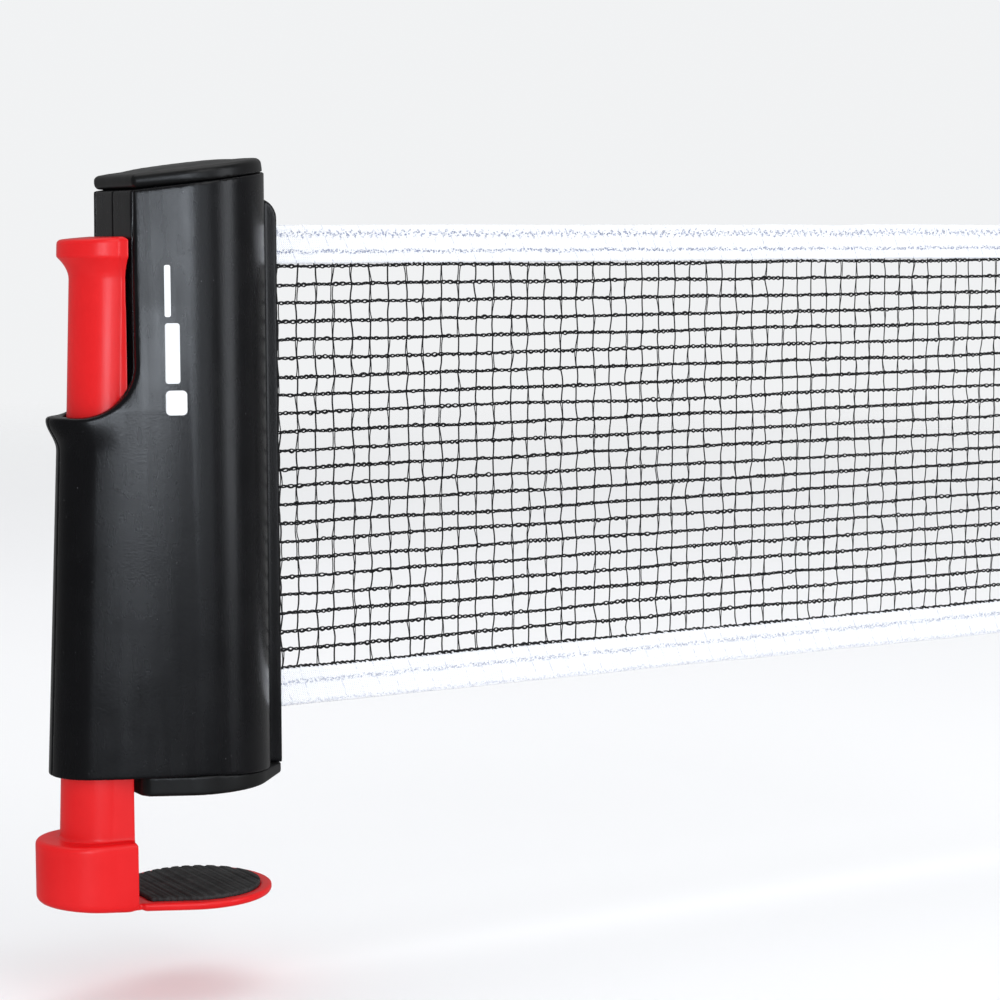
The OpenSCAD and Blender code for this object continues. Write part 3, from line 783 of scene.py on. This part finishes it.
def make_tapes():
    """The two tapes: flat woven bands with rounded, finely toothed edges."""
    rng = np.random.default_rng(11)
    x = np.arange(NET_START, NET_FAR - 0.5, 0.3)
    m = len(x)
    for name, low, material in (("net_top_tape", NET_TOP - TAPE_H, "tape_white"),
                                ("net_bottom_tape", NET_BOTTOM, "tape_white_low")):
        n, half_t = 22, 0.5
        wave = drift(rng, m, 0.06, 60)
        teeth = 0.3 * np.abs(np.sin(np.pi * x / 1.15)) ** 0.8 + 0.04 * rng.normal(size=m)
        width = TAPE_H / 2 - 0.3
        rings = []
        for side in (1, -1):
            for k in range(n):
                a = (2 * k / (n - 1) - 1) * side
                edge = teeth * np.clip(abs(a) * 8 - 7, 0, 1)
                z = low + TAPE_H / 2 + a * width + math.copysign(1, a) * edge + wave
                round_off = math.sqrt(max(0.0, 1 - max(0, (abs(a) - 0.86) / 0.14) ** 2))
                rib = 0.05 * np.sin(2 * np.pi * (x / 1.15 + 4.5 * a)) * math.sin(math.pi * (k + 0.5) * 0.5)
                y = -side * (half_t * max(0.12, round_off) + rib * round_off)
                rings.append(np.stack([x, y, z], 1))
        p = np.stack(rings, 1)
        total = 2 * n
        i = np.arange(m - 1)[:, None] * total
        k = np.arange(total)[None, :]
        nxt = (k + 1) % total
        quads = np.stack([i + k, i + total + k, i + total + nxt, i + nxt], -1).reshape(-1, 4)
        caps = []
        for row, turn in ((0, 1), (m - 1, -1)):
            for k in range(n - 1):
                a, b = row * total + k, row * total + k + 1
                c, d = row * total + total - 2 - k, row * total + total - 1 - k
                caps.append([a, b, c, d][::turn])
        tape = make_mesh(name + "_band", p.reshape(-1, 3) * MM, np.concatenate([quads, np.array(caps)]))
        dress(tape, material)
        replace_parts(tape, name)
        shrinks(tape)


def make_end_bar():
    for name, side in (("end_bar_front", -1), ("end_bar_rear", 1)):
        def field(x, y, z, side=side):
            bar = box2(x, z, BAR_X, BAR_X + BAR_W, BAR_LOW, BAR_HIGH, 2.0)
            slab = both(bar, side * y - BAR_HALF, 0.9)
            slab = both(slab, BAR_GAP - side * y, 0.2)
            for i in range(RIVETS):
                rivet_z = BAR_LOW + RIVET_IN + i * (BAR_HIGH - BAR_LOW - 2 * RIVET_IN) / (RIVETS - 1)
                slab = less(slab, np.hypot(x - RIVET_X, z - rivet_z) - RIVET_R)
            return slab

        ys = steps((0.1, 4.4, 0.3)) if side > 0 else -steps((0.1, 4.4, 0.3))[::-1]
        xs = steps((BAR_X - 1, BAR_X + BAR_W + 1, 0.4))
        bar = moulded(name + "_strip", field, xs, ys, steps((BAR_LOW - 1, BAR_HIGH + 1, 0.6)), 0.5)
        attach(dress(bar, "black_abs"), "net_end")
        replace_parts(bar, name)


# ---------------------------------------------------------------- printed mark
def on_flank(across, z):
    """Points just off the near flank's surface, across it and at heights z."""
    normal = (math.cos(FLANK_A), -math.sin(FLANK_A))
    out = np.linspace(BODY_R - 0.5, BODY_R + 4, 91)[:, None, None]
    px = out * normal[0] + across * math.sin(FLANK_A)
    py = out * normal[1] + across * math.cos(FLANK_A)
    depth = shell(-1)(px, py, np.broadcast_to(z, px.shape))
    last = len(out) - 1 - np.argmax(depth[::-1] < 0, axis=0)
    a = np.take_along_axis(depth, last[None], 0)[0]
    b = np.take_along_axis(depth, np.minimum(last + 1, len(out) - 1)[None], 0)[0]
    reach = out[last, 0, 0] + 0.05 * a / (a - b) + 0.035
    x = reach * normal[0] + across * math.sin(FLANK_A)
    y = reach * normal[1] + across * math.cos(FLANK_A)
    return np.stack([x, y, z], -1)


def make_print():
    """A plain block and two plain bars, printed on the near flank. A mark is its lowest and highest
    level, half its width and the radius of its corners."""
    middle, width = -2.3, 2.75
    marks = [(100.8, 107.2, width, 1.2), (109.0, 124.6, 1.9, 0.7), (126.2, 139.6, 0.8, 0.5)]
    for n, (low, high, half, corner) in enumerate(marks):
        levels = np.array([low + (high - low) * (1 - math.cos(math.pi * i / 40)) / 2 for i in range(41)])
        end = np.maximum(0, corner - np.minimum(levels - low, high - levels))
        wide = half - corner + np.sqrt(np.maximum(0, corner**2 - end**2))
        across = np.linspace(-1, 1, 9)[:, None] * wide[None, :] - (width - half) + middle
        p = on_flank(across, np.broadcast_to(levels, across.shape))
        rows, columns = p.shape[:2]
        i, j = np.meshgrid(range(rows - 1), range(columns - 1), indexing="ij")
        at = (i * columns + j).ravel()
        quads = np.stack([at, at + columns, at + columns + 1, at + 1], -1)
        obj = make_mesh(f"printed_mark_{n + 1}", p.reshape(-1, 3) * MM, quads)
        thick = obj.modifiers.new("thick", "SOLIDIFY")
        thick.thickness = 0.06 * MM
        thick.offset = 0
        apply_modifiers(obj)
        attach(dress(obj, "print_white"), "housing")


# ---------------------------------------------------------------- studio
CAMERA_AT = (-0.2867, -0.6488, 0.1470)
VIEW_AZIMUTH = 30.594


def seen_from_post(azimuth, distance, height):
    """A place round the post, azimuth degrees to the right of the camera."""
    a = math.radians(azimuth - VIEW_AZIMUTH)
    return (distance * math.sin(a), -distance * math.cos(a), height)


def add_light(name, at, aim, size, radiance, color=(1, 1, 1)):
    """A flat lamp, size in metres; its power is worked out from how bright its face is."""
    data = bpy.data.lights.new(name, "AREA")
    data.shape = "RECTANGLE"
    data.size, data.size_y = size
    data.energy = radiance * math.pi * size[0] * size[1]
    data.color = color
    obj = bpy.data.objects.new(name, data)
    bpy.context.scene.collection.objects.link(obj)
    obj.location = at
    obj.rotation_euler = (Vector(aim) - Vector(at)).to_track_quat("-Z", "Y").to_euler()


def make_floor():
    """A round pale floor, clear of the clamp at its lowest, that fades out far away."""
    floor_z = (JAW_BOTTOM - SLIDE_DOWN - 0.5) * MM
    radius, rings, spokes = 4.0, 24, 64
    points = [(0, 0, floor_z)]
    faces = []
    for i in range(rings):
        for j in range(spokes):
            a = 2 * math.pi * j / spokes
            r = radius * (i + 1) / rings
            points.append((r * math.cos(a), r * math.sin(a), floor_z))
            k = (j + 1) % spokes
            if i == 0:
                faces.append((0, 1 + j, 1 + k))
            else:
                low, high = 1 + (i - 1) * spokes, 1 + i * spokes
                faces.append((low + j, high + j, high + k, low + k))
    me = bpy.data.meshes.new("studio_floor")
    me.from_pydata(points, [], faces)
    floor = bpy.data.objects.new("studio_floor", me)
    bpy.context.scene.collection.objects.link(floor)
    p = Paint("studio_white", (0.86, 0.86, 0.87), 0.9)
    patches = p.span(p.noise(700.0), 0.3, 0.7)
    p.set("Base Color", p.mix(patches, (0.85, 0.85, 0.86), (0.87, 0.87, 0.88)))
    away = p.node("ShaderNodeVectorMath", {0: p.where}, operation="LENGTH").outputs["Value"]
    p.set("Alpha", p.span(away, 0.9, 2.6, 1.0, 0.0))
    me.materials.append(p.mat)
    floor.visible_glossy = False


def make_world():
    """An even pale surround. Reflections see a dimmer one, brighter towards the room's far side."""
    world = bpy.data.worlds.new("studio")
    bpy.context.scene.world = world
    world.use_nodes = True
    tree = world.node_tree
    sky = tree.nodes["Background"]
    ray = tree.nodes.new("ShaderNodeTexCoord").outputs["Generated"]
    dot = tree.nodes.new("ShaderNodeVectorMath")
    dot.operation = "DOT_PRODUCT"
    tree.links.new(ray, dot.inputs[0])
    a = math.radians(VIEW_AZIMUTH)
    dot.inputs[1].default_value = (math.sin(a), math.cos(a), 0)
    ramp = tree.nodes.new("ShaderNodeMapRange")
    ramp.interpolation_type = "SMOOTHSTEP"
    tree.links.new(dot.outputs["Value"], ramp.inputs["Value"])
    for key, value in (("From Min", -0.2), ("From Max", 0.9), ("To Min", 0.1), ("To Max", 0.26)):
        ramp.inputs[key].default_value = value
    rays = tree.nodes.new("ShaderNodeLightPath").outputs["Is Glossy Ray"]
    pick = tree.nodes.new("ShaderNodeMix")
    tree.links.new(rays, pick.inputs["Factor"])
    pick.inputs["A"].default_value = 0.9
    tree.links.new(ramp.outputs["Result"], pick.inputs["B"])
    tree.links.new(pick.outputs["Result"], sky.inputs["Strength"])
    sky.inputs["Color"].default_value = (0.98, 0.99, 1.0, 1)


def make_lights():
    aim = (0.0, 0, 0.07)
    add_light("window", seen_from_post(10, 1.4, 0.15), aim, (0.46, 0.2), 15.0, (0.84, 0.91, 1.0))
    add_light("between", seen_from_post(33, 1.4, 0.12), aim, (0.5, 0.45), 1.5, (0.86, 0.92, 1.0))
    add_light("side", seen_from_post(70, 1.3, 0.28), aim, (0.42, 0.75), 3.4, (0.9, 0.94, 1.0))
    add_light("top", (0.1, 0.15, 1.4), aim, (1.3, 1.3), 1.0)
    add_light("fill", seen_from_post(35, 1.5, 1.1), aim, (0.9, 0.9), 1.8)
    bpy.context.scene.view_settings.view_transform = "Standard"


# ---------------------------------------------------------------- camera
def make_camera():
    azimuth, pitch, roll = math.radians(VIEW_AZIMUTH), math.radians(5.723), math.radians(-0.139)
    level = math.cos(pitch)
    forward = Vector((math.sin(azimuth) * level, math.cos(azimuth) * level, -math.sin(pitch)))
    right = Vector((math.cos(azimuth), -math.sin(azimuth), 0))
    up = right.cross(forward)
    x_axis = math.cos(roll) * right + math.sin(roll) * up
    y_axis = -math.sin(roll) * right + math.cos(roll) * up
    data = bpy.data.cameras.new("camera")
    data.sensor_width = 36
    data.lens = 95.12
    data.clip_start, data.clip_end = 0.02, 60
    camera = bpy.data.objects.new("camera", data)
    bpy.context.scene.collection.objects.link(camera)
    rotation = Matrix((x_axis, y_axis, -forward)).transposed().to_4x4()
    camera.matrix_world = Matrix.Translation(CAMERA_AT) @ rotation
    bpy.context.scene.camera = camera


make_camera()
make_floor()
make_world()
make_lights()
for name, obj in frame["nodes"].items():
    slot = next(s["material_slot"] for s in frame["record"]["subparts"] if s["node"] == name)
    obj.data.materials.clear()
    obj.data.materials.append(M[slot])
make_shells()
make_caps()
make_clamp()
make_clamp_spring()
make_roller_spring()
make_net()
make_tapes()
make_end_bar()
make_print()
